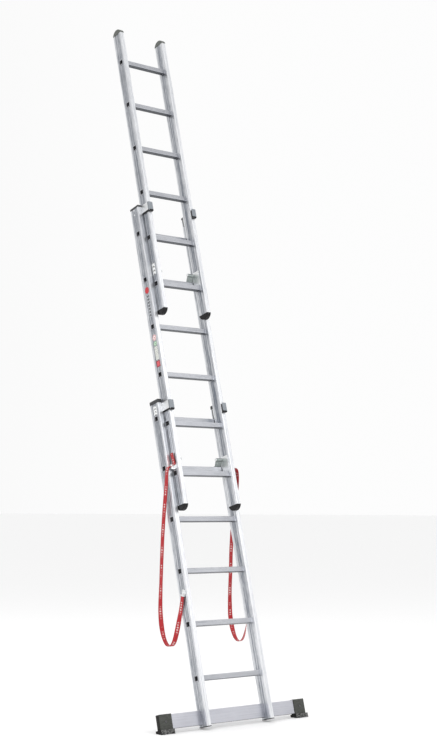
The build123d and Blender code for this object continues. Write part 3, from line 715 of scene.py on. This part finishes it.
# Plain printed plates in the outer channels: shapes and colours only, nothing written
plates = [
    {"name": "redRoundPlate", "section": "middle", "z": 2.388, "size": (0.035, 0.038),
     "round": True, "print": "plain", "ground": (0.55, 0.025, 0.035), "ink": (0.4, 0.02, 0.03)},
    {"name": "darkBarPlate", "section": "middle", "z": 2.296, "size": (0.026, 0.13),
     "round": False, "print": "bars", "ground": (0.5, 0.52, 0.55), "ink": (0.008, 0.008, 0.012)},
    {"name": "roundNoticePlate", "section": "middle", "z": 2.107, "size": (0.034, 0.035),
     "round": True, "print": "ring", "ground": (0.85, 0.78, 0.76), "ink": (0.6, 0.05, 0.08)},
    {"name": "greenNoticePlate", "section": "middle", "z": 2.072, "size": (0.031, 0.028),
     "round": True, "print": "ring", "ground": (0.55, 0.72, 0.56), "ink": (0.07, 0.22, 0.1)},
    {"name": "smallSquaresPlate", "section": "middle", "z": 2.017, "size": (0.03, 0.078),
     "round": False, "print": "squares", "ground": (0.86, 0.87, 0.82), "ink": (0.2, 0.21, 0.2)},
    {"name": "redSquarePlate", "section": "middle", "z": 1.955, "size": (0.034, 0.036),
     "round": False, "print": "frame", "ground": (0.68, 0.1, 0.12), "ink": (0.2, 0.008, 0.02)},
    {"name": "whitePlateUpper", "section": "upper", "z": 2.5, "size": (0.026, 0.07),
     "round": False, "print": "chevrons", "ground": (0.87, 0.88, 0.88), "ink": (0.05, 0.05, 0.05)},
    {"name": "whitePlateLower", "section": "lower", "z": 1.699, "size": (0.03, 0.052),
     "round": False, "print": "chevrons", "ground": (0.87, 0.88, 0.88), "ink": (0.07, 0.07, 0.07)},
]
# Each section's half width and middle plane, the channel's depth, and the shape of a plate's edge
plateSeat = {
    "lower": (0.225, 0), "middle": (0.195, -0.053), "upper": (0.165, -0.106), "channel": 0.0015,
    "lift": 0.00005, "thickness": 0.00035, "edgeShare": 0.7, "bevel": 0.0004,
    "corner": 0.003, "cornerSteps": 5, "roundSides": 40,
}


def makePrint(plate):
    finish = Finish(plate["name"] + "Print")
    uv = finish.node("ShaderNodeUVMap", {"uv_map": "plate"})
    u, v, _ = finish.split(uv)
    if plate["print"] == "ring":
        away = ((u - 0.5) * (u - 0.5) + (v - 0.5) * (v - 0.5)).power(0.5)
        ink = away.above(0.36) * away.below(0.46) + away.below(0.13)
    elif plate["print"] == "bars":
        step = (v * 7).fraction()
        ink = step.above(0.16) * step.below(0.84) * (u - 0.5).size().below(0.4)
        ink = ink * (1 - (v * 14 + u * 0.5).fraction().below(0.22) * (u - 0.5).size().above(0.12))
    elif plate["print"] == "squares":
        cellU, cellV = (u * 2).fraction(), (v * 5).fraction()
        edgeU, edgeV = (cellU - 0.5).size(), (cellV - 0.5).size()
        ink = edgeU.above(0.43).higher(edgeV.above(0.42))
        ink = ink.higher(edgeU.below(0.16) * edgeV.below(0.2))
    elif plate["print"] == "plain":
        ink = (u - 0.5).size().higher((v - 0.5).size()).above(0.46)
    elif plate["print"] == "frame":
        ink = (u - 0.5).size().above(0.36).higher((v - 0.5).size().above(0.38))
    else:
        band = (v * 3 + (u - 0.5).size() * 0.9).fraction()
        ink = band.below(0.34) * (u - 0.5).size().below(0.36)
    faded = finish.noise(finish.place(), 300, 4, 0.6)
    colour = finish.blendColour((ink * (0.86 + (faded - 0.5) * 0.5)).lower(1), plate["ground"], plate["ink"])
    return finish.set(colour=colour, roughness=0.4 + (faded - 0.5) * 0.2,
                      normal=finish.bump(faded, 0.08, 0.0002))


def makePlate(plate):
    halfWidth, middleY = plateSeat[plate["section"]]
    width, height = plate["size"]
    outline = []
    if plate["round"]:
        for i in range(plateSeat["roundSides"]):
            a = math.tau * i / plateSeat["roundSides"]
            outline.append((math.cos(a) / 2, math.sin(a) / 2))
    else:
        corner = plateSeat["corner"]
        for cu, cv, start in ((1, 1, 0), (-1, 1, 90), (-1, -1, 180), (1, -1, 270)):
            for i in range(plateSeat["cornerSteps"] + 1):
                a = math.radians(start + 90 * i / plateSeat["cornerSteps"])
                outline.append((cu * (0.5 - corner / width) + math.cos(a) * corner / width,
                                cv * (0.5 - corner / height) + math.sin(a) * corner / height))
    seat = halfWidth - plateSeat["channel"] + plateSeat["lift"]
    thickness = plateSeat["thickness"]
    form = bmesh.new()
    uvLayer = form.loops.layers.uv.new("plate")
    rings = []
    for out, inset in ((0, 0), (thickness * plateSeat["edgeShare"], 0), (thickness, plateSeat["bevel"])):
        shrinkU, shrinkV = 1 - 2 * inset / width, 1 - 2 * inset / height
        ring = []
        for u, v in outline:
            y, z = middleY + u * width * shrinkU, plate["z"] + v * height * shrinkV
            ring.append(form.verts.new(fromLadder(-(seat + out), y, z)))
        rings.append(ring)
    flat = {}
    for ring in rings:
        for vertex, place in zip(ring, outline):
            flat[vertex] = place
    for low, high in zip(rings, rings[1:]):
        for i in range(len(outline)):
            k = (i + 1) % len(outline)
            form.faces.new([low[i], low[k], high[k], high[i]])
    form.faces.new(rings[-1])
    form.faces.new(rings[0][::-1])
    bmesh.ops.recalc_face_normals(form, faces=form.faces)
    for face in form.faces:
        for loop in face.loops:
            u, v = flat[loop.vert]
            loop[uvLayer].uv = (u + 0.5, v + 0.5)
    piece = addForm(plate["name"], form)
    piece.data.materials.append(makePrint(plate))
    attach(piece, plate["section"] + "_section")


for plate in plates:
    makePlate(plate)
print("plates fixed")


# Studio: pale floor, and an even white sky that is a little dimmer on one side
studio = {
    "floor": (0.965, 0.965, 0.965), "floorReach": 160, "floorSides": 96, "floorRoughness": 0.9,
    "floorSpecular": 0.1, "skyWhite": 1.0, "skyGrey": 0.85, "skyStrength": 0.98,
    "dimSide": (-0.63, 0.77, 0), "dimFrom": 0.25, "dimTo": 0.85,
}


def makeFloor():
    form = bmesh.new()
    bmesh.ops.create_circle(form, cap_ends=True, segments=studio["floorSides"], radius=studio["floorReach"])
    floor = addForm("studioFloor", form)
    paint = Finish("floorPaint").set(colour=studio["floor"], roughness=studio["floorRoughness"],
                                     specular=studio["floorSpecular"])
    floor.data.materials.append(paint)


def makeSky():
    world = bpy.data.worlds.new("studioSky")
    sheet = Sheet(world)
    place = sheet.node("ShaderNodeTexCoord")
    aside = {"operation": "DOT_PRODUCT"}
    dim = sheet.node("ShaderNodeVectorMath", aside, {0: place, 1: studio["dimSide"]}, 1)
    stops = [(studio["dimFrom"], (studio["skyWhite"],) * 3), (studio["dimTo"], (studio["skyGrey"],) * 3)]
    shade = sheet.node("ShaderNodeValToRGB", {"stops": stops}, {0: dim})
    sky = sheet.node("ShaderNodeBackground", None, {"Strength": studio["skyStrength"], "Color": shade})
    sheet.node("ShaderNodeOutputWorld", None, {"Surface": sky}, None)
    bpy.context.scene.world = world
    bpy.context.scene.view_settings.view_transform = "Standard"


lamps = [
    {"name": "keyLamp", "place": (2.4, -6.5, 5.2), "aim": (0, 0.5, 2.0), "size": 3.2, "power": 110},
    {"name": "fillLamp", "place": (-5.5, -4.5, 4.0), "aim": (0, 0.5, 1.6), "size": 4.0, "power": 90},
    {"name": "topLamp", "place": (0.5, 3.5, 6.5), "aim": (0, 0.4, 1.5), "size": 3.0, "power": 60},
]


def makeLamp(lamp):
    light = bpy.data.lights.new(lamp["name"], "AREA")
    light.size = lamp["size"]
    light.energy = lamp["power"]
    holder = addObject(lamp["name"], light)
    holder.location = lamp["place"]
    aim = Vector(lamp["aim"]) - Vector(lamp["place"])
    holder.rotation_euler = aim.to_track_quat("-Z", "Y").to_euler()


makeFloor()
makeSky()
for lamp in lamps:
    makeLamp(lamp)
print("studio lit")
